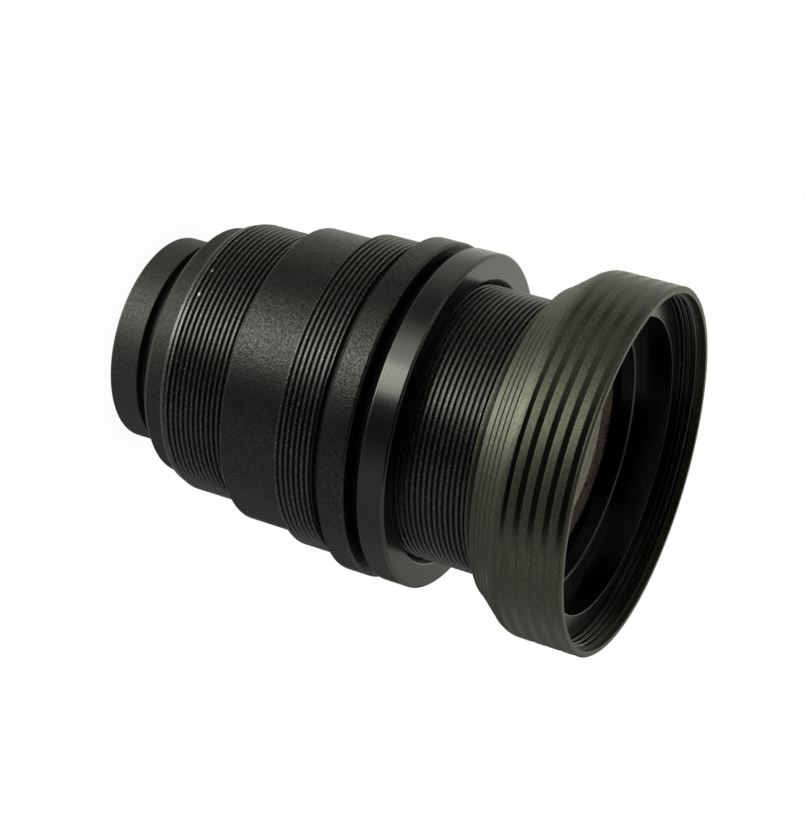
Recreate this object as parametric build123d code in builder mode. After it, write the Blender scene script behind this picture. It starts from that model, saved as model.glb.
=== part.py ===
"""A focusing LED projection lens: stepped aluminium barrel, screwed front tube with a flared hood,
lock ring, rear lens cell and four glass elements. Millimetres. +Z is the optical axis towards the
front, and the origin is the centre of the rear face, on which the lens stands."""

from build123d import *
from math import sqrt
import os

# Screw threads. Every thread on the lens has the same pitch.
thread_pitch = 0.75
external_thread_depth = 0.6134 * thread_pitch
internal_thread_depth = 0.5413 * thread_pitch
thread_fit = 0.05

# Fits and small edges
optic_fit = 0.05
face_gap = 0.05
edge_break = 0.25
end_gap = 0.1

# Rear cell, the small plain ring at the back
rear_ring_radius = 13.85
rear_ring_length = 4.2
rear_groove_length = 2.7
rear_neck_radius = 12.6
rear_neck_engagement = 7.6
rear_cell_wall = 1.4
rear_cell_lip = 1.5
rear_cell_lip_width = 1.3
rear_recess = 0.8
rear_ring_thickness = 1.5
spanner_slot_width = 1.6
spanner_slot_depth = 0.7

# Rear glass
rear_element_edge = 3.0
rear_element_curve = 30.0
rear_element_inner_curve = 60.0
rear_spacer_length = 4.2
rear_inner_curve = 45.0

# Main barrel, from the rear to the front
shoulder_radius = 16.9
shoulder_length = 3.4
shoulder_chamfer = 0.7
rear_thread_radius = 18.35
rear_thread_length = 9.8
rear_thread_lead = 1.3
rear_thread_wall = 2.5
grip_band_length = 8.75
grip_band_wall = 1.75
grip_band_chamfer = 0.4
flange_thread_step = 1.08
flange_thread_length = 5.4
relief_length = 1.5
relief_extra_depth = 0.25
flange_band_step = 1.32
flange_band_length = 3.45
bore_mouth_chamfer = 0.5
inner_ledge_thickness = 1.5
inner_ledge_width = 1.6
bore_floor = 0.8

# Focus thread, front tube and lock ring
focus_thread_radius = 18.1
focus_travel_in = 8.5
exposed_thread = 9.0
tube_wall = 1.45
lock_ring_length = 5.45
lock_ring_wall = 4.0
lock_ring_chamfer_width = 1.65
lock_ring_chamfer_length = 1.9
lock_ring_bore_chamfer = 0.7

# Hood
hood_start_step = 0.25
hood_start_land = 0.3
flare_foot_length = 1.7
flare_foot_rise = 2.0
flare_length = 7.45
flare_round_length = 2.05
flare_round_rise = 0.55
flare_groove_count = 4
flare_groove_start = 0.7
flare_groove_spacing = 0.8
flare_groove_width = 0.35
flare_groove_depth = 0.08
rib_count = 4
rib_pitch = 1.82
rib_depth = 0.18
rib_rise_length = 0.14
rib_land_length = 0.95
rim_length = 0.45
hood_wall = 0.85
filter_thread_radius = 23.0
filter_thread_length = 2.25
filter_lead = 0.9
mouth_radius = 19.25
mouth_depth = 4.3

# Front glass
front_ring_thickness = 2.0
front_ring_width = 2.0
front_element_edge = 2.3
front_element_curve = 150.0
front_element_inner_curve = 90.0
front_spacer_length = 7.7
front_spacer_wall = 1.15
front_inner_edge = 4.5
front_inner_curve = 80.0

# Heights along the axis, each worked out from the lengths above
barrel_rear_z = rear_ring_length + rear_groove_length
rear_thread_z = barrel_rear_z + shoulder_length
grip_band_z = rear_thread_z + rear_thread_length
flange_thread_z = grip_band_z + grip_band_length
relief_z = flange_thread_z + flange_thread_length
flange_band_z = relief_z + relief_length
barrel_front_z = flange_band_z + flange_band_length
lock_ring_z = barrel_front_z + face_gap
lock_ring_front_z = lock_ring_z + lock_ring_length
hood_z = lock_ring_front_z + exposed_thread
flare_top_z = hood_z + flare_length
rim_z = flare_top_z + rib_count * rib_pitch
front_z = rim_z + rim_length
filter_ledge_z = front_z - filter_lead - filter_thread_length
front_ring_z = filter_ledge_z - mouth_depth - front_ring_thickness
front_seat_z = front_ring_z - front_element_edge
front_inner_z = front_seat_z - front_spacer_length - front_inner_edge
bore_floor_z = grip_band_z + bore_floor
tube_rear_z = bore_floor_z + end_gap + focus_travel_in
ledge_z = barrel_rear_z + rear_neck_engagement

# Radii that follow from the ones above
focus_bore_radius = focus_thread_radius + thread_fit
grip_band_radius = focus_bore_radius + grip_band_wall
flange_thread_radius = grip_band_radius + flange_thread_step
flange_band_radius = flange_thread_radius + flange_band_step
relief_radius = flange_thread_radius - external_thread_depth - relief_extra_depth
rear_thread_root = rear_thread_radius - external_thread_depth
cavity_radius = rear_thread_root - rear_thread_wall
rear_bore_radius = rear_neck_radius + thread_fit
lock_ring_radius = focus_bore_radius + lock_ring_wall
hood_start_radius = focus_thread_radius + hood_start_step
hood_radius = filter_thread_radius + hood_wall
filter_wall_radius = filter_thread_radius - internal_thread_depth
tube_bore_radius = focus_thread_radius - external_thread_depth - tube_wall
baffle_radius = tube_bore_radius - front_spacer_wall
front_glass_radius = mouth_radius - optic_fit
front_ring_bore = front_glass_radius - front_ring_width
rear_glass_bore = rear_neck_radius - rear_cell_wall
rear_glass_radius = rear_glass_bore - optic_fit
rear_clear_radius = rear_glass_bore - rear_cell_lip_width


def sagitta(curve_radius, at_radius):
    """Height of a spherical lens face over its own rim."""
    return curve_radius - sqrt(curve_radius**2 - at_radius**2)


def save(piece, label):
    """Name a finished piece and write it to its own file."""
    piece.part.label = label
    export_step(piece.part, f"parts/{label}.step")


os.makedirs("parts", exist_ok=True)

# Rear cell: plain ring, narrow neck that screws into the barrel, lip that stops the rear glass
with BuildPart() as rear_cell:
    with BuildSketch(Plane.XZ):
        with BuildLine():
            Polyline(
                (rear_glass_bore, 0),
                (rear_ring_radius - edge_break, 0),
                (rear_ring_radius, edge_break),
                (rear_ring_radius, rear_ring_length),
                (rear_neck_radius, rear_ring_length),
                (rear_neck_radius, ledge_z),
                (rear_clear_radius, ledge_z),
                (rear_clear_radius, ledge_z - rear_cell_lip),
                (rear_glass_bore, ledge_z - rear_cell_lip),
                close=True,
            )
        make_face()
    revolve(axis=Axis.Z)
save(rear_cell, "rear_cell")

# Rear retaining ring, with two spanner slots in its rear face
rear_element_z = rear_recess + rear_ring_thickness
with BuildPart() as rear_retaining_ring:
    with BuildSketch(Plane.XY.offset(rear_recess)):
        Circle(rear_glass_radius)
        Circle(rear_clear_radius, mode=Mode.SUBTRACT)
    extrude(amount=rear_ring_thickness)
    with BuildSketch(Plane.XY.offset(rear_recess)):
        Rectangle(spanner_slot_width, 2 * rear_glass_radius + edge_break)
    extrude(amount=spanner_slot_depth, mode=Mode.SUBTRACT)
save(rear_retaining_ring, "rear_retaining_ring")

# Rear element, convex on both sides
rear_dome = sagitta(rear_element_curve, rear_clear_radius)
rear_inner_dome = sagitta(rear_element_inner_curve, rear_clear_radius)
rear_element_front_z = rear_element_z + rear_element_edge
with BuildPart() as rear_element:
    with BuildSketch(Plane.XZ):
        with BuildLine():
            Line((0, rear_element_z - rear_dome), (0, rear_element_front_z + rear_inner_dome))
            RadiusArc(
                (0, rear_element_front_z + rear_inner_dome),
                (rear_clear_radius, rear_element_front_z),
                rear_element_inner_curve,
            )
            Polyline(
                (rear_clear_radius, rear_element_front_z),
                (rear_glass_radius, rear_element_front_z),
                (rear_glass_radius, rear_element_z),
                (rear_clear_radius, rear_element_z),
            )
            RadiusArc(
                (rear_clear_radius, rear_element_z),
                (0, rear_element_z - rear_dome),
                rear_element_curve,
            )
        make_face()
    revolve(axis=Axis.Z)
save(rear_element, "rear_element")

# Rear spacer ring, between the two rear elements
rear_spacer_front_z = rear_element_front_z + rear_spacer_length
with BuildPart() as rear_spacer_ring:
    with BuildSketch(Plane.XY.offset(rear_element_front_z)):
        Circle(rear_glass_radius)
        Circle(rear_clear_radius, mode=Mode.SUBTRACT)
    extrude(amount=rear_spacer_length)
save(rear_spacer_ring, "rear_spacer_ring")

# Inner rear element, hollow on both sides, held against the cell's lip
rear_lip_z = ledge_z - rear_cell_lip
rear_hollow = sagitta(rear_inner_curve, rear_clear_radius)
with BuildPart() as rear_inner_element:
    with BuildSketch(Plane.XZ):
        with BuildLine():
            Line((0, rear_spacer_front_z + rear_hollow), (0, rear_lip_z - rear_hollow))
            RadiusArc(
                (0, rear_lip_z - rear_hollow),
                (rear_clear_radius, rear_lip_z),
                -rear_inner_curve,
            )
            Polyline(
                (rear_clear_radius, rear_lip_z),
                (rear_glass_radius, rear_lip_z),
                (rear_glass_radius, rear_spacer_front_z),
                (rear_clear_radius, rear_spacer_front_z),
            )
            RadiusArc(
                (rear_clear_radius, rear_spacer_front_z),
                (0, rear_spacer_front_z + rear_hollow),
                -rear_inner_curve,
            )
        make_face()
    revolve(axis=Axis.Z)
save(rear_inner_element, "rear_inner_element")

# Main barrel: shoulder, rear thread, grip band, flange thread, relief groove and flange band
# outside; rear bore with its ledge, cavity and focus bore inside
with BuildPart() as main_barrel:
    with BuildSketch(Plane.XZ):
        with BuildLine():
            Polyline(
                (rear_bore_radius, barrel_rear_z),
                (shoulder_radius - shoulder_chamfer, barrel_rear_z),
                (shoulder_radius, barrel_rear_z + shoulder_chamfer),
                (shoulder_radius, rear_thread_z),
                (rear_thread_root, rear_thread_z),
                (rear_thread_radius, rear_thread_z + rear_thread_lead),
                (rear_thread_radius, grip_band_z),
                (grip_band_radius - grip_band_chamfer, grip_band_z),
                (grip_band_radius, grip_band_z + grip_band_chamfer),
                (grip_band_radius, flange_thread_z),
                (flange_thread_radius, flange_thread_z),
                (flange_thread_radius, relief_z),
                (relief_radius, relief_z),
                (relief_radius, flange_band_z),
                (flange_band_radius, flange_band_z),
                (flange_band_radius, barrel_front_z - edge_break),
                (flange_band_radius - edge_break, barrel_front_z),
                (focus_bore_radius + bore_mouth_chamfer, barrel_front_z),
                (focus_bore_radius, barrel_front_z - bore_mouth_chamfer),
                (focus_bore_radius, bore_floor_z),
                (cavity_radius, bore_floor_z),
                (cavity_radius, ledge_z + inner_ledge_thickness),
                (rear_bore_radius - inner_ledge_width, ledge_z + inner_ledge_thickness),
                (rear_bore_radius - inner_ledge_width, ledge_z),
                (rear_bore_radius, ledge_z),
                close=True,
            )
        make_face()
    revolve(axis=Axis.Z)
save(main_barrel, "main_barrel")

# Lock ring: jams against the barrel's front face, long chamfer at the rear
with BuildPart() as lock_ring:
    with BuildSketch(Plane.XZ):
        with BuildLine():
            Polyline(
                (focus_bore_radius, lock_ring_z),
                (lock_ring_radius - lock_ring_chamfer_width, lock_ring_z),
                (lock_ring_radius, lock_ring_z + lock_ring_chamfer_length),
                (lock_ring_radius, lock_ring_front_z),
                (focus_bore_radius + lock_ring_bore_chamfer, lock_ring_front_z),
                (focus_bore_radius, lock_ring_front_z - lock_ring_bore_chamfer),
                close=True,
            )
        make_face()
    revolve(axis=Axis.Z)
    rim_edges = lock_ring.edges().filter_by(GeomType.CIRCLE).group_by(SortBy.RADIUS)[-1]
    chamfer(rim_edges.sort_by(Axis.Z)[-1], edge_break)
save(lock_ring, "lock_ring")

# Front barrel: screwed tube, flare with fine turned grooves, hood with sawtooth ribs, threaded mouth
rib_slope_length = rib_pitch - rib_rise_length - rib_land_length
rib_profile = []
for rib in range(rib_count):
    rib_z = flare_top_z + rib * rib_pitch
    rib_profile.append((hood_radius - rib_depth, rib_z))
    rib_profile.append((hood_radius, rib_z + rib_rise_length))
    rib_profile.append((hood_radius, rib_z + rib_rise_length + rib_land_length))

flare_foot_z = hood_z + flare_foot_length
flare_foot_radius = hood_start_radius + flare_foot_rise
flare_round_z = flare_top_z - flare_round_length
flare_round_radius = hood_radius - flare_round_rise
flare_slope = (flare_round_radius - flare_foot_radius) / (flare_round_z - flare_foot_z)
groove_profile = []
for groove in range(flare_groove_count):
    groove_z = flare_foot_z + flare_groove_start + groove * flare_groove_spacing
    groove_radius = flare_foot_radius + flare_slope * (groove_z - flare_foot_z)
    groove_profile.append((groove_radius, groove_z))
    groove_profile.append((groove_radius - flare_groove_depth, groove_z + flare_groove_width / 2))
    groove_end_radius = groove_radius + flare_slope * flare_groove_width
    groove_profile.append((groove_end_radius, groove_z + flare_groove_width))

with BuildPart() as front_barrel:
    with BuildSketch(Plane.XZ):
        with BuildLine():
            Polyline(
                (baffle_radius, tube_rear_z),
                (focus_thread_radius - edge_break, tube_rear_z),
                (focus_thread_radius, tube_rear_z + edge_break),
                (focus_thread_radius, hood_z),
                (hood_start_radius, hood_z),
                (hood_start_radius, hood_z + hood_start_land),
                (flare_foot_radius, flare_foot_z),
                *groove_profile,
                (flare_round_radius, flare_round_z),
            )
            TangentArc(
                (flare_round_radius, flare_round_z),
                (hood_radius, flare_top_z - rib_slope_length),
                tangent=(flare_slope, 1),
            )
            Polyline(
                (hood_radius, flare_top_z - rib_slope_length),
                *rib_profile,
                (hood_radius - rib_depth, rim_z),
                (hood_radius, rim_z + rib_rise_length),
                (hood_radius, front_z - edge_break),
                (hood_radius - edge_break, front_z),
                (filter_thread_radius, front_z),
                (filter_thread_radius, front_z - filter_lead),
                (filter_wall_radius, front_z - filter_lead),
                (filter_wall_radius, filter_ledge_z),
                (mouth_radius, filter_ledge_z),
                (mouth_radius, front_seat_z),
                (tube_bore_radius, front_seat_z),
                (tube_bore_radius, front_inner_z),
                (baffle_radius, front_inner_z),
                (baffle_radius, tube_rear_z),
            )
        make_face()
    revolve(axis=Axis.Z)
save(front_barrel, "front_barrel")

# Front retaining ring, plain, on the edge of the front glass
with BuildPart() as front_retaining_ring:
    with BuildSketch(Plane.XY.offset(front_ring_z)):
        Circle(front_glass_radius)
        Circle(front_ring_bore, mode=Mode.SUBTRACT)
    extrude(amount=front_ring_thickness)
save(front_retaining_ring, "front_retaining_ring")

# Front element, convex on both sides, seated in the mouth of the front barrel
front_dome = sagitta(front_element_curve, front_ring_bore)
front_inner_dome = sagitta(front_element_inner_curve, baffle_radius)
with BuildPart() as front_element:
    with BuildSketch(Plane.XZ):
        with BuildLine():
            Line((0, front_seat_z - front_inner_dome), (0, front_ring_z + front_dome))
            RadiusArc(
                (0, front_ring_z + front_dome),
                (front_ring_bore, front_ring_z),
                front_element_curve,
            )
            Polyline(
                (front_ring_bore, front_ring_z),
                (front_glass_radius, front_ring_z),
                (front_glass_radius, front_seat_z),
                (baffle_radius, front_seat_z),
            )
            RadiusArc(
                (baffle_radius, front_seat_z),
                (0, front_seat_z - front_inner_dome),
                front_element_inner_curve,
            )
        make_face()
    revolve(axis=Axis.Z)
save(front_element, "front_element")

# Front spacer ring, a short tube between the two front elements
front_inner_glass_radius = tube_bore_radius - optic_fit
front_inner_front_z = front_inner_z + front_inner_edge
with BuildPart() as front_spacer_ring:
    with BuildSketch(Plane.XY.offset(front_inner_front_z)):
        Circle(front_inner_glass_radius)
        Circle(baffle_radius, mode=Mode.SUBTRACT)
    extrude(amount=front_spacer_length)
save(front_spacer_ring, "front_spacer_ring")

# Inner front element, hollow on both sides, on the step inside the tube
front_hollow = sagitta(front_inner_curve, baffle_radius)
with BuildPart() as front_inner_element:
    with BuildSketch(Plane.XZ):
        with BuildLine():
            Line((0, front_inner_z + front_hollow), (0, front_inner_front_z - front_hollow))
            RadiusArc(
                (0, front_inner_front_z - front_hollow),
                (baffle_radius, front_inner_front_z),
                -front_inner_curve,
            )
            Polyline(
                (baffle_radius, front_inner_front_z),
                (front_inner_glass_radius, front_inner_front_z),
                (front_inner_glass_radius, front_inner_z),
                (baffle_radius, front_inner_z),
            )
            RadiusArc(
                (baffle_radius, front_inner_z),
                (0, front_inner_z + front_hollow),
                -front_inner_curve,
            )
        make_face()
    revolve(axis=Axis.Z)
save(front_inner_element, "front_inner_element")
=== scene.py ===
"""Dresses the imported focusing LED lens: turned surfaces with cut threads, black anodised
finishes, coated glass and a small studio. Profiles are in millimetres, meshes in metres."""

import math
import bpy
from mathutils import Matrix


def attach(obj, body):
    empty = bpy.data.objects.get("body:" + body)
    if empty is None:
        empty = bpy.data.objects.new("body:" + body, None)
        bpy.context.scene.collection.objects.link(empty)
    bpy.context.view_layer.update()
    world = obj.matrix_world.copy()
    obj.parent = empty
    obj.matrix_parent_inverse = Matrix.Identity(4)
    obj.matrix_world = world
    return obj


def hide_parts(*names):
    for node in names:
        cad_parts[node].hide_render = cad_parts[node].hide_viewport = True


bl_info = {
    "name": "Focusing LED lens",
    "version": (1, 0, 0),
    "blender": (4, 5, 0),
    "location": "3D View > Sidebar > Lens",
    "description": "Turned surfaces, threads and finishes for the packed focusing lens",
    "category": "Add Mesh",
}

import bmesh
import bpy
import numpy as np
from bpy.props import FloatProperty, FloatVectorProperty, IntProperty, PointerProperty
from mathutils import Matrix, Vector

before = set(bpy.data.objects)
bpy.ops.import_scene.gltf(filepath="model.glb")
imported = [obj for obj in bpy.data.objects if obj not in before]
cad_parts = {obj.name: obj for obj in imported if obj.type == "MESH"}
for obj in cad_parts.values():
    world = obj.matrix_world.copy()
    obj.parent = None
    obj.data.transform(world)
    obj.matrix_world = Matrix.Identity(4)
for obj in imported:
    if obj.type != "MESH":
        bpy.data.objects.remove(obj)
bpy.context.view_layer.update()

# Angle round the axis that faces the camera's upper left, where thread phases are read
READ_ANGLE = math.radians(246.2)

# Points nearer than this are welded, in metres, and edges sharper than this stay sharp
WELD = 2.5e-6
SHARP = math.radians(30)


def linear(code):
    """An sRGB hex colour as linear red, green, blue and alpha."""
    srgb = [int(code[i : i + 2], 16) / 255 for i in (1, 3, 5)]
    return [c / 12.92 if c <= 0.04045 else ((c + 0.055) / 1.055) ** 2.4 for c in srgb] + [1.0]


# Sizes and colours


class LensSizes(bpy.types.PropertyGroup):
    """Sizes that a user would change, in scene units."""

    pitch: FloatProperty(
        name="Thread pitch", description="Advance of every thread in one turn",
        default=0.00075, min=0.0002, unit="LENGTH",
    )
    outside_depth: FloatProperty(
        name="Outside thread depth", description="Crest to root of the outside threads",
        default=0.00046, min=0.0001, unit="LENGTH",
    )
    inside_depth: FloatProperty(
        name="Inside thread depth", description="Crest to root of the filter thread",
        default=0.00040, min=0.0001, unit="LENGTH",
    )
    edge: FloatProperty(
        name="Edge easing", description="How far turned edges are eased",
        default=0.00012, min=0.0, unit="LENGTH",
    )
    columns: IntProperty(
        name="Columns", description="Steps round the axis", default=168, min=48, max=256,
    )
    grit: FloatProperty(
        name="Blast grit", description="Size of the bead-blasted grain",
        default=0.00016, min=0.00005, unit="LENGTH",
    )
    tool_mark: FloatProperty(
        name="Tool mark", description="Spacing of the fine lines left by turning",
        default=0.00011, min=0.00002, unit="LENGTH",
    )


class LensColours(bpy.types.PropertyGroup):
    """Colours of the finishes."""

    barrel: FloatVectorProperty(
        name="Barrel", description="Bead-blasted black anodise", subtype="COLOR", size=4,
        default=linear("#0b0b0c"), min=0, max=1,
    )
    ring: FloatVectorProperty(
        name="Rings", description="Turned black anodise", subtype="COLOR", size=4,
        default=linear("#070708"), min=0, max=1,
    )
    hood: FloatVectorProperty(
        name="Hood", description="Turned black anodise with an olive cast", subtype="COLOR",
        size=4, default=linear("#0c0c08"), min=0, max=1,
    )
    # partly painted shade: black anodise, set darker than the rings' black so that the mouth's hollow
    # and the tube's inside come out shaded
    bore: FloatVectorProperty(
        name="Bore", description="Deep black inside the mouth", subtype="COLOR", size=4,
        default=linear("#020202"), min=0, max=1,
    )
    bare: FloatVectorProperty(
        name="Bare metal", description="Aluminium where the anodise is nicked", subtype="COLOR",
        size=4, default=linear("#b9bab8"), min=0, max=1,
    )
    # painted reflection: this pale colour, on a band of the front spacer's wall, stands in for the
    # bright crescent that the front glass mirrors
    spacer: FloatVectorProperty(
        name="Spacer", description="Pale wall seen through the front glass", subtype="COLOR",
        size=4, default=linear("#f4ecd4"), min=0, max=1,
    )
    glass: FloatVectorProperty(
        name="Glass", description="Optical crown glass", subtype="COLOR", size=4,
        default=linear("#f4faf5"), min=0, max=1,
    )
    floor: FloatVectorProperty(
        name="Floor", description="Pale studio floor", subtype="COLOR", size=4,
        default=linear("#f2f2f2"), min=0, max=1,
    )


# Surfaces


def turns():
    """Angles of the columns as shares of a turn, with cosine and sine closed exactly."""
    share = np.linspace(0, 1, bpy.context.scene.lens_sizes.columns + 1)
    cos, sin = np.cos(2 * np.pi * share), np.sin(2 * np.pi * share)
    cos[-1], sin[-1] = cos[0], sin[0]
    return share, cos, sin


def eased(points, size=None, steps=4):
    """A profile with its corners eased: corner P becomes (1-t)^2 A + 2t(1-t) P + t^2 B, where A
    and B are on its two edges, and a holding point just beyond each keeps the flats flat."""
    size = bpy.context.scene.lens_sizes.edge * 1000 if size is None else size
    p = np.array(points, float)
    corner, back, ahead = p[1:-1], p[:-2] - p[1:-1], p[2:] - p[1:-1]
    back_length = np.linalg.norm(back, axis=1, keepdims=True)
    ahead_length = np.linalg.norm(ahead, axis=1, keepdims=True)
    set_back = np.minimum(size, 0.36 * np.minimum(back_length, ahead_length))
    a, b = corner + back / back_length * set_back, corner + ahead / ahead_length * set_back
    hold_a = corner + back / back_length * set_back * 1.3
    hold_b = corner + ahead / ahead_length * set_back * 1.3
    t = np.linspace(0, 1, steps)[None, :, None]
    curve = (1 - t) ** 2 * a[:, None] + 2 * t * (1 - t) * corner[:, None] + t**2 * b[:, None]
    inner = np.concatenate([hold_a[:, None], curve, hold_b[:, None]], 1).reshape(-1, 2)
    return np.concatenate([p[:1], inner, p[-1:]])


def plain(profile):
    """Rows of a turned surface: every profile point (radius, height) is carried round the axis."""
    return np.repeat(np.asarray(profile, float)[:, None, :], len(turns()[0]), axis=1)


def thread(start, end, crest, depth, groove_at, lead_in=0.0, lead_out=0.0):
    """Rows of a right-hand screw thread. Row q lies at height start + pitch (q - 2 + phase +
    share of a turn), held between start and end, so rows follow the crests. The radius is
    crest - depth S(u), where u is the place within a pitch and S is a flat-topped, flat-rooted V.
    A lead lowers the crests to the root over its length. Depth is negative for an inside thread."""
    share = turns()[0][None, :]
    pitch = bpy.context.scene.lens_sizes.pitch * 1000
    place = np.array([0, 0.15, 0.18, 0.37, 0.43, 0.57, 0.63, 0.82, 0.85])
    shape = np.array([0, 0, 0.05, 0.93, 1, 1, 0.93, 0.05, 0])
    length = (end - start) / pitch
    phase = ((groove_at - start) / pitch - READ_ANGLE / (2 * math.pi) - 0.5) % 1.0
    q = (np.arange(int(length) + 4)[:, None] + place[None, :]).reshape(-1, 1)
    height = np.clip(q - 2 + phase + share, 0, length)
    cut = np.interp(height - phase - share, place, shape, period=1.0)
    z = height * pitch
    ramp_in = np.clip(1 - z / max(lead_in, 1e-6), 0, 1) if lead_in else 0 * z
    ramp_out = np.clip(1 - (end - start - z) / max(lead_out, 1e-6), 0, 1) if lead_out else 0 * z
    radius = crest - depth * np.maximum(cut, np.maximum(ramp_in, ramp_out))
    return np.stack([radius, start + z], axis=2)


def mesh_from_rows(name, zones, cos=None, sin=None):
    """A closed mesh from zones of rows, each a (rows, columns, 2) array of radius and height with
    its material's number, or one number a row. Rows are joined by quads, and points that meet are
    welded."""
    rows = np.concatenate([z for z, _ in zones])
    finish = np.concatenate([np.full(len(z), m) for z, m in zones])
    if cos is None:
        cos, sin = turns()[1:]
    points = np.stack([rows[..., 0] * cos, rows[..., 0] * sin, rows[..., 1]], axis=2) * 0.001
    count, wide = points.shape[:2]
    index = np.arange(count * wide).reshape(count, wide)
    quads = np.stack(
        [index[:-1, :-1], index[:-1, 1:], index[1:, 1:], index[1:, :-1]], axis=2
    ).reshape(-1, 4)
    mesh = bpy.data.meshes.new(name)
    mesh.from_pydata(points.reshape(-1, 3), [], quads)
    mesh.polygons.foreach_set("material_index", np.repeat(finish[1:], wide - 1).astype(np.int32))
    weld = bmesh.new()
    weld.from_mesh(mesh)
    bmesh.ops.remove_doubles(weld, verts=weld.verts, dist=WELD)
    weld.to_mesh(mesh)
    weld.free()
    mesh.shade_smooth()
    mesh.set_sharp_from_angle(angle=SHARP)
    return mesh


def seat(mesh, node, body, finishes):
    """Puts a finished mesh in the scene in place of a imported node, on its body."""
    piece = bpy.data.objects.new(mesh.name, mesh)
    bpy.context.scene.collection.objects.link(piece)
    for finish in finishes:
        mesh.materials.append(finish)
    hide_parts(node)
    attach(piece, body)
    return piece


def slotted_ring(name, inner, outer, low, high, slot_width, slot_depth, face_up):
    """A retaining ring with two spanner slots across its outer face. Column j stands at angle
    A_j + B_j asin(half width / radius), so slot walls stay parallel, and slot columns drop the
    face by the slot's depth."""
    half = np.linspace(0, 1, 40)
    narrow = np.linspace(0, 1, 5)
    quarter = math.pi / 2
    base = np.concatenate(
        [quarter + 2 * quarter * half, 3 * quarter + 0 * narrow,
         3 * quarter + 2 * quarter * half, 5 * quarter + 0 * narrow, [quarter]]
    )
    lean = np.concatenate([1 - 2 * half, 2 * narrow - 1, 1 - 2 * half, 2 * narrow - 1, [1]])
    sunk = np.concatenate([0 * half, 1 + 0 * narrow, 0 * half, 1 + 0 * narrow, [0]])
    ease = 0.1
    section = np.array(
        [
            (inner, low, 0), (outer, low, 0), (outer, high - ease, 1), (outer - ease, high, 1),
            (inner + ease, high, 1), (inner, high - ease, 1), (inner, low, 0),
        ]
    )
    if not face_up:
        section = section * [1, -1, 1] + [0, low + high, 0]
        section = section[::-1]
    drop = section[:, 2:3] * sunk[None, :] * slot_depth * (1 if face_up else -1)
    radius = section[:, :1] + 0 * drop
    angle = base[None, :] + lean[None, :] * np.arcsin(slot_width / 2 / radius)
    height = section[:, 1:2] - drop
    rows = np.stack([radius, height], axis=2)
    return mesh_from_rows(name, [(rows, 0)], np.cos(angle), np.sin(angle))


def dome(curve, radius, height, rise, steps=24):
    """Points of a spherical face from the axis to its rim: height + rise-signed (sagitta at the
    rim less sagitta at r), with sagitta(r) = R - sqrt(R^2 - r^2)."""
    r = np.linspace(0, radius, steps)
    sag = curve - np.sqrt(curve**2 - r**2)
    return np.stack([r, height + rise * (sag[-1] - sag)], axis=1)


def ground_element(bottom, edge, top):
    """Zones of a lens element: polished faces (0) and a blackened edge (1). Faces run from the
    axis to their rim, and the top one is turned round so that the outline goes on."""
    blackened = np.array([bottom[-1], edge[0], edge[1], top[-1]])
    return [(plain(bottom), 0), (plain(blackened), 1), (plain(top[::-1]), 0)]


# Finishes


def add(tree, kind, links=(), **settings):
    """Adds a node. Settings are its properties, or its inputs where the name starts with i_ and
    goes on with the socket's number or name; links are (socket, from socket) pairs."""
    node = tree.nodes.new(kind)
    for name, value in settings.items():
        if name.startswith("i_"):
            key = name[2:].replace("_", " ")
            node.inputs[int(key) if key.isdigit() else key].default_value = value
        else:
            setattr(node, name, value)
    for socket, source in links:
        tree.links.new(source, node.inputs[socket])
    return node


def new_material(name):
    """An empty node material and its tree."""
    material = bpy.data.materials.new(name)
    material.use_nodes = True
    material.node_tree.nodes.clear()
    return material, material.node_tree


def object_coordinates(tree):
    return add(tree, "ShaderNodeTexCoord").outputs["Object"]


def lathe_coordinates(tree, place):
    """The vector (distance from the axis, 0, height), on which any pattern is a set of circles."""
    split = add(tree, "ShaderNodeSeparateXYZ", [(0, place)])
    flat = add(
        tree, "ShaderNodeCombineXYZ", [(0, split.outputs[0]), (1, split.outputs[1])], i_2=0.0
    )
    radius = add(tree, "ShaderNodeVectorMath", [(0, flat.outputs[0])], operation="LENGTH")
    return add(
        tree, "ShaderNodeCombineXYZ",
        [(0, radius.outputs["Value"]), (2, split.outputs[2])], i_1=0.0,
    ).outputs[0]


def nicked(tree, place, nicks):
    """A mask that is 1 within each nick. A nick is (x, y, z, size) in millimetres, and a fine
    noise breaks up its outline."""
    ragged = add(
        tree, "ShaderNodeTexNoise", [("Vector", place)],
        i_Scale=9000.0, i_Detail=2.0, i_Roughness=0.6,
    ).outputs["Fac"]
    total = None
    for x, y, z, size in nicks:
        reach = add(
            tree, "ShaderNodeVectorMath", [(0, place)], operation="DISTANCE",
            i_1=(x * 0.001, y * 0.001, z * 0.001),
        ).outputs["Value"]
        scaled = add(
            tree, "ShaderNodeMath", [(0, reach)], operation="DIVIDE", i_1=size * 0.001
        ).outputs[0]
        rough = add(
            tree, "ShaderNodeMath", [(0, scaled), (1, ragged)], operation="ADD"
        ).outputs[0]
        inside = add(
            tree, "ShaderNodeMapRange", [("Value", rough)], interpolation_type="SMOOTHSTEP",
            i_1=1.05, i_2=1.35, i_3=1.0, i_4=0.0,
        ).outputs[0]
        total = inside if total is None else greater(tree, total, inside)
    return total


def greater(tree, first, second):
    return add(tree, "ShaderNodeMath", [(0, first), (1, second)], operation="MAXIMUM").outputs[0]


def worn(tree, place, share):
    """A mask of specks, 0.12 mm across, where handling has taken the dye off. Share is how much
    of the noise's upper range they take."""
    noise = add(
        tree, "ShaderNodeTexNoise", [("Vector", place)],
        i_Scale=8000.0, i_Detail=1.0, i_Roughness=0.5,
    ).outputs["Fac"]
    return add(
        tree, "ShaderNodeMapRange", [("Value", noise)], interpolation_type="SMOOTHSTEP",
        i_1=0.78 - share, i_2=0.86 - share, i_3=0.0, i_4=0.5,
    ).outputs[0]


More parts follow.
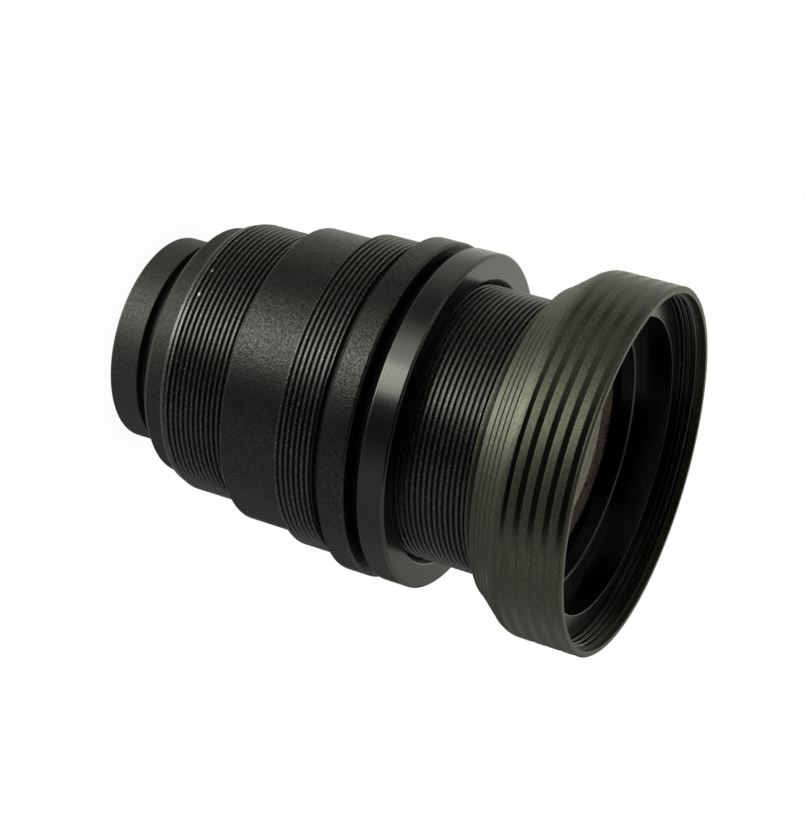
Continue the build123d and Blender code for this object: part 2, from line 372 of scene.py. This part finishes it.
def anodise(tree, place, colour, tone, gloss, bump, speck, grain, index, nicks, wear, tint):
    """The dyed oxide film over the surface that tone, gloss and bump describe. Pits, where speck
    is low, hold back a part of the highlight, and grain is how much. Where a nick or a worn speck
    shows, bare aluminium takes the film's place."""
    level = add(
        tree, "ShaderNodeMapRange", [("Value", speck)],
        i_1=0.35, i_2=0.65, i_3=0.5 - grain, i_4=0.5 + grain,
    ).outputs[0]
    dyed = add(
        tree, "ShaderNodeVectorMath", [("Scale", tone)], operation="SCALE", i_0=colour[:3]
    ).outputs[0]
    shader = add(
        tree, "ShaderNodeBsdfPrincipled",
        [("Base Color", dyed), ("Roughness", gloss), ("Normal", bump),
         ("Specular IOR Level", level)],
        i_IOR=index, i_Specular_Tint=tint,
    )
    bare = nicked(tree, place, nicks) if nicks else None
    if wear:
        specks = worn(tree, place, wear)
        bare = specks if bare is None else greater(tree, bare, specks)
    if bare is not None:
        blend = add(tree, "ShaderNodeMix", [("Factor", bare)], data_type="RGBA")
        tree.links.new(dyed, blend.inputs[6])
        blend.inputs[7].default_value = bpy.context.scene.lens_colours.bare
        tree.links.new(blend.outputs[2], shader.inputs["Base Color"])
        tree.links.new(bare, shader.inputs["Metallic"])
    add(tree, "ShaderNodeOutputMaterial", [("Surface", shader.outputs[0])])


def turned_anodise(
    name, colour, roughness, mark_height, nicks=(), wear=0.0, tint=(1, 1, 1, 1), index=1.6,
    grain=0.25,
):
    """Turned black anodised aluminium. The dyed oxide is a clear, glassy film over dark metal, so
    it mirrors softly; the tool's fine rings stretch each highlight across the rings."""
    material, tree = new_material(name)
    place = object_coordinates(tree)
    rings = lathe_coordinates(tree, place)
    fine = add(
        tree, "ShaderNodeTexNoise", [("Vector", rings)],
        i_Scale=0.5 / bpy.context.scene.lens_sizes.tool_mark, i_Detail=2.0, i_Roughness=0.55,
    ).outputs["Fac"]
    # cloudy dye, 4 mm across
    cloud = add(
        tree, "ShaderNodeTexNoise", [("Vector", place)],
        i_Scale=250.0, i_Detail=4.0, i_Roughness=0.6,
    ).outputs["Fac"]
    # specks in the oxide, 0.2 mm across: they break the highlight's edge
    speck = add(
        tree, "ShaderNodeTexNoise", [("Vector", place)],
        i_Scale=5200.0, i_Detail=3.0, i_Roughness=0.7,
    ).outputs["Fac"]
    tone = add(
        tree, "ShaderNodeMapRange", [("Value", cloud)], i_1=0.3, i_2=0.7, i_3=0.82, i_4=1.22
    ).outputs[0]
    gloss = add(
        tree, "ShaderNodeMapRange", [("Value", fine)],
        i_1=0.25, i_2=0.75, i_3=roughness * 0.88, i_4=roughness * 1.1,
    ).outputs[0]
    relief = add(
        tree, "ShaderNodeMath", [(0, speck), (2, fine)], operation="MULTIPLY_ADD", i_1=1.3
    ).outputs[0]
    bump = add(
        tree, "ShaderNodeBump", [("Height", relief)], i_Strength=1.0, i_Distance=mark_height
    ).outputs[0]
    anodise(
        tree, place, colour, tone, gloss, bump, speck, grain, index, nicks, wear, tint
    )
    return material


def blasted_anodise(name, colour, roughness, nicks=()):
    """Bead-blasted black anodised aluminium: a peened surface of shallow pits, each of which
    throws its own glint, under the same dyed oxide. The pits hold some light back."""
    grit = bpy.context.scene.lens_sizes.grit
    material, tree = new_material(name)
    place = object_coordinates(tree)
    grain = add(
        tree, "ShaderNodeTexNoise", [("Vector", place)],
        i_Scale=0.5 / grit, i_Detail=3.0, i_Roughness=0.65,
    ).outputs["Fac"]
    pits = add(
        tree, "ShaderNodeTexVoronoi", [("Vector", place)], feature="SMOOTH_F1",
        i_Scale=0.8 / grit, i_Smoothness=0.6,
    ).outputs["Distance"]
    tone = add(
        tree, "ShaderNodeMapRange", [("Value", grain)], i_1=0.3, i_2=0.7, i_3=0.7, i_4=1.35
    ).outputs[0]
    gloss = add(
        tree, "ShaderNodeMapRange", [("Value", grain)],
        i_1=0.3, i_2=0.7, i_3=roughness + 0.07, i_4=roughness - 0.06,
    ).outputs[0]
    relief = add(
        tree, "ShaderNodeMath", [(0, pits), (2, grain)], operation="MULTIPLY_ADD", i_1=0.6
    ).outputs[0]
    bump = add(
        tree, "ShaderNodeBump", [("Height", relief)], i_Strength=1.0, i_Distance=grit * 0.17
    ).outputs[0]
    anodise(
        tree, place, colour, tone, gloss, bump, grain, 0.24, 1.43, nicks, 0.0, (1, 1, 1, 1)
    )
    return material


def matte_anodise(name, colour):
    """Matte anodise inside the tube. Fine rings trap stray light there, so little is mirrored."""
    material, tree = new_material(name)
    place = object_coordinates(tree)
    rings = lathe_coordinates(tree, place)
    fine = add(
        tree, "ShaderNodeTexNoise", [("Vector", rings)],
        i_Scale=2200.0, i_Detail=2.0, i_Roughness=0.5,
    ).outputs["Fac"]
    tone = add(
        tree, "ShaderNodeMapRange", [("Value", fine)], i_1=0.3, i_2=0.7, i_3=0.8, i_4=1.2
    ).outputs[0]
    dyed = add(
        tree, "ShaderNodeVectorMath", [("Scale", tone)], operation="SCALE", i_0=colour[:3]
    ).outputs[0]
    bump = add(
        tree, "ShaderNodeBump", [("Height", fine)], i_Strength=1.0, i_Distance=0.00003
    ).outputs[0]
    shader = add(
        tree, "ShaderNodeBsdfPrincipled", [("Base Color", dyed), ("Normal", bump)],
        i_IOR=1.5, i_Roughness=0.5, i_Specular_IOR_Level=0.12,
    )
    add(tree, "ShaderNodeOutputMaterial", [("Surface", shader.outputs[0])])
    return material


# Refractive index of the glass and its anti-reflection film, and the film's thickness in nm
GLASS_INDEX = 1.52
FILM_INDEX = 1.38
FILM_THICKNESS = 120.0


def coated_glass(name):
    """Polished optical glass with a thin anti-reflection film, which tints what little it
    mirrors. Dust and wipe marks break its gloss."""
    material, tree = new_material(name)
    place = object_coordinates(tree)
    haze = add(
        tree, "ShaderNodeTexNoise", [("Vector", place)],
        i_Scale=160.0, i_Detail=5.0, i_Roughness=0.7,
    ).outputs["Fac"]
    gloss = add(
        tree, "ShaderNodeMapRange", [("Value", haze)], i_1=0.45, i_2=0.75, i_3=0.01, i_4=0.03
    ).outputs[0]
    tint = add(
        tree, "ShaderNodeMapRange", [("Value", haze)], i_1=0.3, i_2=0.7, i_3=0.94, i_4=1.0
    ).outputs[0]
    clear = add(
        tree, "ShaderNodeVectorMath", [("Scale", tint)], operation="SCALE",
        i_0=bpy.context.scene.lens_colours.glass[:3],
    ).outputs[0]
    shader = add(
        tree, "ShaderNodeBsdfPrincipled", [("Roughness", gloss), ("Base Color", clear)],
        i_IOR=GLASS_INDEX, i_Transmission_Weight=1.0,
    )
    shader.inputs["Thin Film Thickness"].default_value = FILM_THICKNESS
    shader.inputs["Thin Film IOR"].default_value = FILM_INDEX
    add(tree, "ShaderNodeOutputMaterial", [("Surface", shader.outputs[0])])
    return material


# Pieces

# Nicks and dust specks as (x, y, z, size) in millimetres, on the side that faces the camera
THREAD_NICKS = (
    (-9.7, -15.6, 12.1, 0.30), (-8.3, -16.4, 11.8, 0.20), (-6.3, -17.2, 12.2, 0.34),
    (-14.4, -11.4, 11.9, 0.16), (-1.4, -18.3, 14.6, 0.16), (0.3, -21.0, 29.1, 0.14),
)
RING_NICKS = ((-8.1, -20.6, 44.7, 0.16),)
HOOD_NICKS = ((-20.4, -12.4, 65.9, 0.14), (-20.8, -11.6, 67.0, 0.12))
MOUTH_DUST = (
    (-8.6, 17.2, 62.0, 0.10), (-7.7, 17.7, 62.2, 0.08), (1.0, 19.2, 64.5, 0.10),
    (-15.4, 16.6, 65.9, 0.14),
)

# The oxide's own cast on the hood, and how fast the flare widens along the axis
OLIVE = (1.0, 1.0, 0.80, 1.0)
FLARE_SLOPE = 0.797

# Height in millimetres up to which the front spacer's wall is pale: a painted reflection, standing in
# for the bright crescent that the front glass mirrors
PAINTED_REFLECTION_TOP = 53.6


class LENS_OT_rear_cell(bpy.types.Operator):
    """Make the small rear ring with its screwed neck and its glass, rings and spacer"""

    bl_idname = "lens.rear_cell"
    bl_label = "Rear cell"

    def execute(self, context):
        colours = context.scene.lens_colours
        ring = turned_anodise("anodised_turned_rear", colours.ring, 0.55, 0.000006, index=1.58)
        matte = matte_anodise("anodised_matte_rear", colours.bore)
        glass = coated_glass("crown_glass_rear")
        body = eased(
            [
                (11.2, 13.0), (11.2, 0.0), (13.6, 0.0), (13.85, 0.25), (13.85, 4.2), (12.6, 4.2),
                (12.6, 14.5), (9.9, 14.5), (9.9, 13.0), (11.2, 13.0),
            ]
        )
        mesh = mesh_from_rows("rear_cell_turned", [(plain(body), 0)])
        seat(mesh, "rear_cell", "base", [ring])
        mesh = slotted_ring(
            "rear_retaining_ring_slotted", 9.9, 11.15, 0.8, 2.3, 1.6, 0.7, False
        )
        seat(mesh, "rear_retaining_ring", "base", [ring])
        zones = ground_element(
            dome(30.0, 9.9, 2.3, -1), [(11.15, 2.3), (11.15, 5.3)], dome(60.0, 9.9, 5.3, 1)
        )
        mesh = mesh_from_rows("rear_element_ground", zones)
        seat(mesh, "rear_element", "base", [glass, matte])
        spacer = [(9.9, 9.5), (9.9, 5.3), (11.15, 5.3), (11.15, 9.5), (9.9, 9.5)]
        mesh = mesh_from_rows("rear_spacer_turned", [(plain(eased(spacer)), 0)])
        seat(mesh, "rear_spacer_ring", "base", [matte])
        zones = ground_element(
            dome(45.0, 9.9, 9.5, 1), [(11.15, 9.5), (11.15, 13.0)], dome(45.0, 9.9, 13.0, -1)
        )
        mesh = mesh_from_rows("rear_inner_element_ground", zones)
        seat(mesh, "rear_inner_element", "base", [glass, matte])
        return {"FINISHED"}


class LENS_OT_main_barrel(bpy.types.Operator):
    """Make the main barrel with its bands and its two outside threads"""

    bl_idname = "lens.main_barrel"
    bl_label = "Main barrel"

    def execute(self, context):
        sizes, colours = context.scene.lens_sizes, context.scene.lens_colours
        depth = sizes.outside_depth * 1000
        shoulder = eased(
            [(12.65, 10.3), (12.65, 6.9), (16.2, 6.9), (16.9, 7.6), (16.9, 10.3), (17.89, 10.3)]
        )[:-1]
        rear_thread = thread(10.3, 20.1, 18.35, depth, 12.454, lead_in=1.3, lead_out=0.45)
        grip = eased(
            [(17.89, 20.1), (19.5, 20.1), (19.9, 20.5), (19.9, 28.85), (20.5, 28.85)], 0.1
        )[:-1]
        flange_thread = thread(28.85, 34.25, 20.98, depth, 29.235, lead_out=0.1)
        relief = eased([(20.52, 34.25), (20.27, 34.25), (20.27, 35.75), (22.3, 35.75)], 0.05)[:-1]
        flange = eased(
            [
                (20.27, 35.75), (22.3, 35.75), (22.3, 38.95), (22.05, 39.2), (18.65, 39.2),
                (18.15, 38.7), (18.15, 21.0),
            ]
        )[1:]
        inside = eased(
            [
                (18.15, 22.0), (18.15, 20.9), (15.39, 20.9), (15.39, 16.0), (11.05, 16.0),
                (11.05, 14.5), (12.65, 14.5), (12.65, 10.3),
            ]
        )[1:]
        mesh = mesh_from_rows(
            "main_barrel_turned",
            [
                (plain(shoulder), 0), (rear_thread, 3), (plain(grip), 1), (flange_thread, 3),
                (plain(relief), 0), (plain(flange), 1), (plain(inside), 2),
            ],
        )
        finishes = [
            turned_anodise("anodised_turned_barrel", colours.ring, 0.54, 0.000006, index=1.5),
            blasted_anodise("anodised_blasted_barrel", colours.barrel, 0.33),
            matte_anodise("anodised_matte_barrel", colours.bore),
            turned_anodise(
                "anodised_worn_thread", colours.ring, 0.30, 0.000007, THREAD_NICKS, wear=0.17
            ),
        ]
        seat(mesh, "main_barrel", "base", finishes)
        return {"FINISHED"}


class LENS_OT_lock_ring(bpy.types.Operator):
    """Make the lock ring on the focus thread"""

    bl_idname = "lens.lock_ring"
    bl_label = "Lock ring"

    def execute(self, context):
        colours = context.scene.lens_colours
        profile = eased(
            [
                (18.15, 42.0), (18.15, 39.25), (20.5, 39.25), (22.15, 41.15), (22.15, 44.45),
                (21.9, 44.7), (18.85, 44.7), (18.15, 44.0), (18.15, 42.0),
            ]
        )
        mesh = mesh_from_rows("lock_ring_turned", [(plain(profile), 0)])
        finish = turned_anodise(
            "anodised_turned_lock_ring", colours.ring, 0.20, 0.000001, RING_NICKS, grain=0.06
        )
        seat(mesh, "lock_ring", "lock_ring", [finish])
        return {"FINISHED"}


class LENS_OT_front_barrel(bpy.types.Operator):
    """Make the screwed tube with its flare, ribbed hood and filter thread"""

    bl_idname = "lens.front_barrel"
    bl_label = "Front barrel"

    def execute(self, context):
        sizes, colours = context.scene.lens_sizes, context.scene.lens_colours
        depth, inner_depth = sizes.outside_depth * 1000, sizes.inside_depth * 1000
        tail = eased([(15.04, 33.0), (15.04, 29.5), (17.64, 29.5), (17.64, 29.7)])[:-1]
        focus_thread = thread(29.5, 53.7, 18.1, depth, 45.305, lead_in=0.5, lead_out=0.35)
        # flare: a steep foot, then fine rings, each a flatter land and a steep riser
        ring_z = 56.35 + np.arange(4)[:, None] * 0.86
        ring_r = 20.35 + FLARE_SLOPE * (ring_z - 55.4)
        rings = np.stack([ring_r + [[-0.207, 0.207]], ring_z + [[-0.15, 0.15]]], axis=2)
        rings = rings.reshape(-1, 2)
        turn = np.linspace(0, 1, 7)[1:, None]
        a, b, c = np.array((23.62, 59.6)), np.array((23.8, 59.98)), np.array((23.85, 60.62))
        rounding = (1 - turn) ** 2 * a + 2 * turn * (1 - turn) * b + turn**2 * c
        # sawtooth ribs: a short steep rise, a flat, and a long slope that falls to the next rise
        rib_z = 61.15 + np.arange(4)[:, None] * 1.82
        ribs = np.stack(
            [[[23.67, 23.85, 23.85]] + 0 * rib_z, rib_z + [[0.0, 0.14, 1.09]]], axis=2
        ).reshape(-1, 2)
        outline = np.concatenate(
            [
                [(18.0, 53.7), (18.35, 53.75), (18.35, 54.05), (20.6, 55.45)],
                rings,
                [(23.52, 59.42), (23.62, 59.6)],
                rounding,
                ribs,
                [(23.67, 68.43), (23.85, 68.57), (23.85, 68.63), (23.62, 68.88), (23.0, 68.88)],
            ]
        )
        hood = eased(outline, 0.05, 3)[1:-1]
        # where the outline falls to the next rib, and on the foot, the tool left a smoother face
        fall = np.diff(hood[:, 0], prepend=hood[0, 0]) < -1e-4
        foot = (hood[:, 1] > 54.1) & (hood[:, 1] < 55.46)
        hood_finish = np.where(fall & (hood[:, 1] < 68.5) | foot, 3, 1)
        lead = eased([(23.3, 68.88), (23.0, 68.88), (23.0, 67.98), (22.8, 67.98)], 0.05)[1:-1]
        filter_thread = thread(65.73, 67.98, 22.594, -inner_depth, 66.6)[::-1]
        mouth = eased(
            [
                (22.594, 65.73), (19.25, 65.73), (19.25, 57.13), (16.19, 57.13),
                (16.19, 44.93), (15.04, 44.93), (15.04, 33.0),
            ]
        )
        mesh = mesh_from_rows(
            "front_barrel_turned",
            [
                (plain(tail), 0), (focus_thread, 0), (plain(hood), hood_finish), (plain(lead), 1),
                (filter_thread, 2), (plain(mouth), 2),
            ],
        )
        finishes = [
            turned_anodise("anodised_worn_tube", colours.ring, 0.30, 0.000007, wear=0.17),
            turned_anodise(
                "anodised_turned_hood", colours.hood, 0.41, 0.000009, HOOD_NICKS, wear=0.06,
                tint=OLIVE, index=1.72,
            ),
            # the mouth's black is partly painted shade, darker than the rings' black
            turned_anodise(
                "anodised_polished_mouth", colours.bore, 0.19, 0.000001, MOUTH_DUST, index=1.52,
                grain=0.1,
            ),
            turned_anodise("anodised_smooth_groove", colours.hood, 0.22, 0.000003, tint=OLIVE),
        ]
        seat(mesh, "front_barrel", "front_barrel", finishes)
        return {"FINISHED"}


class LENS_OT_front_glass(bpy.types.Operator):
    """Make the front glass with its retaining ring, spacer and inner element"""

    bl_idname = "lens.front_glass"
    bl_label = "Front glass"

    def execute(self, context):
        colours = context.scene.lens_colours
        ring = turned_anodise(
            "anodised_turned_front_ring", colours.bore, 0.20, 0.000001, index=1.52, grain=0.1
        )
        matte = matte_anodise("anodised_matte_front", colours.bore)
        glass = coated_glass("crown_glass_front")
        section = [
            (17.2, 60.4), (17.2, 59.43), (19.2, 59.43), (19.2, 61.43), (17.4, 61.43),
            (17.2, 61.23), (17.2, 60.4),
        ]
        mesh = mesh_from_rows("front_retaining_ring_turned", [(plain(eased(section, 0.06)), 0)])
        seat(mesh, "front_retaining_ring", "front_optics", [ring])
        zones = ground_element(
            dome(90.0, 15.04, 57.13, -1), [(19.2, 57.13), (19.2, 59.43)], dome(150.0, 17.2, 59.43, 1)
        )
        mesh = mesh_from_rows("front_element_ground", zones)
        seat(mesh, "front_element", "front_optics", [glass, matte])
        # painted reflection: the pale lower band of this ring's wall, seen through the glass, stands
        # in for the bright crescent that the front glass mirrors at the mouth's near edge; that the
        # ring itself is pale there is a guess
        pale = matte_anodise("spacer_painted_reflection", colours.spacer)
        dark = [(15.04, 49.43), (16.14, 49.43), (16.14, 57.13), (15.04, 57.13), (15.04, PAINTED_REFLECTION_TOP)]
        light = [(15.04, PAINTED_REFLECTION_TOP), (15.04, 49.43)]
        mesh = mesh_from_rows("front_spacer_turned", [(plain(eased(dark)), 1), (plain(light), 0)])
        seat(mesh, "front_spacer_ring", "front_optics", [pale, matte])
        zones = ground_element(
            dome(80.0, 15.04, 44.93, 1), [(16.14, 44.93), (16.14, 49.43)], dome(80.0, 15.04, 49.43, -1)
        )
        mesh = mesh_from_rows("front_inner_element_ground", zones)
        seat(mesh, "front_inner_element", "front_optics", [glass, matte])
        return {"FINISHED"}


# Studio

# Picture axes (right, up, back to the camera) as rows over the row frame's X, Y and Z
PICTURE = Matrix(
    ((-0.27884, 0.36000, 0.89030), (-0.96034, -0.10453, -0.25850), (0, -0.92706, 0.37490))
)

# The camera's focal length in millimetres, and its place in metres in picture axes
FOCAL_LENGTH = 97.2
CAMERA_PLACE = (0.03212, -0.00967, 0.299)

# How bright the soft box and the glow round it are, where the white backdrop is 1
BOX_RADIANCE = 4.3
GLOW_RADIANCE = 2.8

# The soft box's length, width and distance, and the height it faces, in metres
BOX_SIZE = (0.577, 0.18)
BOX_DISTANCE = 0.5
BOX_FACES = 0.05

# The floor's radius, and how far it lies under the lens, in metres
FLOOR_RADIUS = 0.6
FLOOR_DROP = 0.00003


class LENS_OT_studio(bpy.types.Operator):
    """Make the camera, the pale floor, the soft box and the surroundings"""

    bl_idname = "lens.studio"
    bl_label = "Studio"

    def execute(self, context):
        to_world = PICTURE.inverted()
        camera_data = bpy.data.cameras.new("camera")
        camera_data.lens = FOCAL_LENGTH
        camera_data.sensor_width = 36.0
        camera_data.clip_start = 0.01
        camera_data.clip_end = 20.0
        camera = bpy.data.objects.new("camera", camera_data)
        context.scene.collection.objects.link(camera)
        camera.matrix_world = to_world.to_4x4()
        camera.location = to_world @ Vector(CAMERA_PLACE)
        context.scene.camera = camera

        self.floor(context)
        self.soft_box(context)
        self.surroundings(context)
        view = context.scene.view_settings
        view.view_transform = "Standard"
        return {"FINISHED"}

    def floor(self, context):
        """A round floor, 1.2 m across: point (r cos a, r sin a, 0) on rings that widen outwards."""
        share, cos, sin = turns()
        radius = np.linspace(0, 1, 13) ** 2 * FLOOR_RADIUS
        points = np.stack(
            [radius[:, None] * cos, radius[:, None] * sin, 0 * radius[:, None] * cos - FLOOR_DROP], 2
        )
        count, wide = points.shape[:2]
        index = np.arange(count * wide).reshape(count, wide)
        quads = np.stack(
            [index[:-1, :-1], index[1:, :-1], index[1:, 1:], index[:-1, 1:]], axis=2
        ).reshape(-1, 4)
        mesh = bpy.data.meshes.new("studio_floor")
        mesh.from_pydata(points.reshape(-1, 3), [], quads)
        floor = bpy.data.objects.new("studio_floor", mesh)
        context.scene.collection.objects.link(floor)
        material, tree = new_material("painted_studio_floor")
        place = object_coordinates(tree)
        away = add(tree, "ShaderNodeVectorMath", [(0, place)], operation="LENGTH").outputs["Value"]
        # only a trace of the lens's shadow is kept: 5% close to it, and plain white further out
        fade = add(
            tree, "ShaderNodeMapRange", [("Value", away)], interpolation_type="SMOOTHSTEP",
            i_1=0.0125, i_2=0.019, i_3=0.95, i_4=1.0,
        ).outputs[0]
        paint = add(
            tree, "ShaderNodeBsdfDiffuse", i_Color=context.scene.lens_colours.floor
        ).outputs[0]
        white = add(tree, "ShaderNodeEmission", i_Color=(1, 1, 1, 1), i_Strength=1.0).outputs[0]
        rays = add(tree, "ShaderNodeLightPath").outputs
        seen = add(
            tree, "ShaderNodeMath",
            [(0, rays["Is Camera Ray"]), (1, rays["Is Glossy Ray"])], operation="MAXIMUM",
        ).outputs[0]
        seen = add(
            tree, "ShaderNodeMath",
            [(0, seen), (1, rays["Is Transmission Ray"])], operation="MAXIMUM",
        ).outputs[0]
        share_white = add(
            tree, "ShaderNodeMath", [(0, seen), (1, fade)], operation="MULTIPLY"
        ).outputs[0]
        mixed = add(
            tree, "ShaderNodeMixShader", [(0, share_white), (1, paint), (2, white)]
        ).outputs[0]
        add(tree, "ShaderNodeOutputMaterial", [("Surface", mixed)])
        mesh.materials.append(material)
        # the soft box stands partly below this level, as the lens leaned over in the photograph,
        # so the floor is hidden from light; its material's glossy term then has no effect
        floor.visible_shadow = False
        floor.visible_glossy = False
        floor.visible_diffuse = False

    def soft_box(self, context):
        """A tall strip of light to the left of the camera. It runs down beside the lens, so that
        both the cylinders and the flare mirror it."""
        data = bpy.data.lights.new("soft_box", "AREA")
        data.shape = "RECTANGLE"
        data.size, data.size_y = BOX_SIZE
        data.energy = BOX_RADIANCE * math.pi * data.size * data.size_y
        data.color = (0.96, 1.0, 0.87)
        box = bpy.data.objects.new("soft_box", data)
        context.scene.collection.objects.link(box)
        level, turn, lean = math.radians(-45), math.radians(253.5), math.radians(6)
        back = Vector(
            (math.cos(level) * math.cos(turn), math.cos(level) * math.sin(turn), math.sin(level))
        )
        side = Vector((0, 0, 1)).cross(back).normalized()
        up = back.cross(side)
        along = up * math.cos(lean) + side * math.sin(lean)
        across = up * math.sin(lean) - side * math.cos(lean)
        axes = Matrix((along, across, back)).transposed()
        place = Vector((0, 0, BOX_FACES)) + back * BOX_DISTANCE
        box.matrix_world = Matrix.Translation(place) @ axes.to_4x4()

    def surroundings(self, context):
        """White to the camera and through glass. To mirrors and to matt surfaces it is a room: a
        white backdrop behind, a dim ceiling, the dark behind the camera, the grey table and the
        glow round the soft box. Its ramps are tuned to the photograph, so it is no plain studio."""
        world = bpy.data.worlds.new("studio_room")
        context.scene.world = world
        world.use_nodes = True
        tree = world.node_tree
        tree.nodes.clear()
        way = add(tree, "ShaderNodeTexCoord").outputs["Generated"]

        def along(row):
            return add(
                tree, "ShaderNodeVectorMath", [(0, way)], operation="DOT_PRODUCT", i_1=tuple(row)
            ).outputs["Value"]

        def ramp(value, start, end, low, high):
            return add(
                tree, "ShaderNodeMapRange", [("Value", value)], interpolation_type="SMOOTHSTEP",
                i_1=start, i_2=end, i_3=low, i_4=high,
            ).outputs[0]

        def maths(operation, *values):
            node = add(tree, "ShaderNodeMath", operation=operation)
            for number, value in enumerate(values):
                if isinstance(value, float):
                    node.inputs[number].default_value = value
                else:
                    tree.links.new(value, node.inputs[number])
            return node.outputs[0]

        right, up, back = (along(row) for row in PICTURE)
        front_dark = ramp(back, 0.42, 0.72, 1.0, 0.0)
        above = maths("MULTIPLY", ramp(back, -0.95, -0.5, 0.78, 0.58), front_dark)
        above = maths("MULTIPLY", above, ramp(back, -0.40, 0.14, 1.0, 0.26))
        above = maths("MULTIPLY", above, ramp(right, 0.25, 0.55, 1.0, 1.35))
        far, near = ramp(back, -1.2, -0.4, 0.0, 0.25), ramp(back, -0.1, 0.35, 0.0, 0.10)
        table = maths("MULTIPLY", maths("ADD", far, near), front_dark)
        # the table is lit beyond both ends of the lens, and dimmer in its shade
        axial = along((0, 0, 1))
        table = maths("MULTIPLY", table, ramp(axial, -0.355, -0.29, 1.0, 2.2))
        table = maths("MULTIPLY", table, ramp(axial, -0.50, -0.44, 1.4, 1.0))
        # a faint ceiling light above the camera
        overhead = ramp(axial, -0.40, -0.15, 0.0, 0.42)
        overhead = maths("MULTIPLY", overhead, ramp(back, -0.1, 0.3, 0.0, 1.0))
        above = maths("ADD", above, maths("MULTIPLY", overhead, ramp(back, 0.74, 0.98, 1.0, 0.0)))
        level = ramp(up, -0.245, -0.205, 0.0, 1.0)
        room = add(tree, "ShaderNodeMix", [("Factor", level)], data_type="FLOAT")
        tree.links.new(table, room.inputs[2])
        tree.links.new(above, room.inputs[3])
        # the glow lies along a plane through the lens's axis, 12 degrees left of the soft box
        turn = math.radians(241)
        off_plane = maths("ABSOLUTE", along((-math.sin(turn), math.cos(turn), 0)))
        ahead = ramp(along((math.cos(turn), math.sin(turn), 0)), 0.02, 0.30, 0.0, 1.0)
        low = ramp(axial, -0.36, -0.18, 1.0, 0.0)
        glow = maths("MULTIPLY", ramp(off_plane, 0.0, 0.50, GLOW_RADIANCE, 0.0), ahead)
        glow = maths("MULTIPLY", glow, low)
        strength = maths("ADD", room.outputs[0], glow)
        rays = add(tree, "ShaderNodeLightPath").outputs
        seen = maths("MAXIMUM", rays["Is Camera Ray"], rays["Is Transmission Ray"])
        shown = add(tree, "ShaderNodeMix", [("Factor", seen)], data_type="FLOAT")
        tree.links.new(strength, shown.inputs[2])
        shown.inputs[3].default_value = 1.0
        cast = add(tree, "ShaderNodeMix", [("Factor", level)], data_type="RGBA")
        cast.inputs[6].default_value = (0.95, 1.0, 0.90, 1)
        cast.inputs[7].default_value = (0.98, 1.0, 0.87, 1)
        hue = add(tree, "ShaderNodeMix", [("Factor", seen)], data_type="RGBA")
        tree.links.new(cast.outputs[2], hue.inputs[6])
        hue.inputs[7].default_value = (1, 1, 1, 1)
        background = add(
            tree, "ShaderNodeBackground",
            [("Strength", shown.outputs[0]), ("Color", hue.outputs[2])],
        ).outputs[0]
        add(tree, "ShaderNodeOutputWorld", [("Surface", background)])


class LENS_PT_panel(bpy.types.Panel):
    """Lists the sizes, the colours and the pieces"""

    bl_idname = "LENS_PT_panel"
    bl_label = "Focusing lens"
    bl_space_type = "VIEW_3D"
    bl_region_type = "UI"
    bl_category = "Lens"

    def draw(self, context):
        for group in (context.scene.lens_sizes, context.scene.lens_colours):
            box = self.layout.box()
            for name in group.__annotations__:
                box.prop(group, name)
        for operator in OPERATORS:
            self.layout.operator(operator.bl_idname)


OPERATORS = (
    LENS_OT_rear_cell,
    LENS_OT_main_barrel,
    LENS_OT_lock_ring,
    LENS_OT_front_barrel,
    LENS_OT_front_glass,
    LENS_OT_studio,
)
CLASSES = (LensSizes, LensColours, *OPERATORS, LENS_PT_panel)


def register():
    for cls in CLASSES:
        bpy.utils.register_class(cls)
    bpy.types.Scene.lens_sizes = PointerProperty(type=LensSizes)
    bpy.types.Scene.lens_colours = PointerProperty(type=LensColours)


def unregister():
    del bpy.types.Scene.lens_sizes
    del bpy.types.Scene.lens_colours
    for cls in reversed(CLASSES):
        bpy.utils.unregister_class(cls)


def main():
    register()
    bpy.ops.lens.rear_cell()
    bpy.ops.lens.main_barrel()
    bpy.ops.lens.lock_ring()
    bpy.ops.lens.front_barrel()
    bpy.ops.lens.front_glass()
    bpy.ops.lens.studio()


if __name__ == "__main__":
    main()
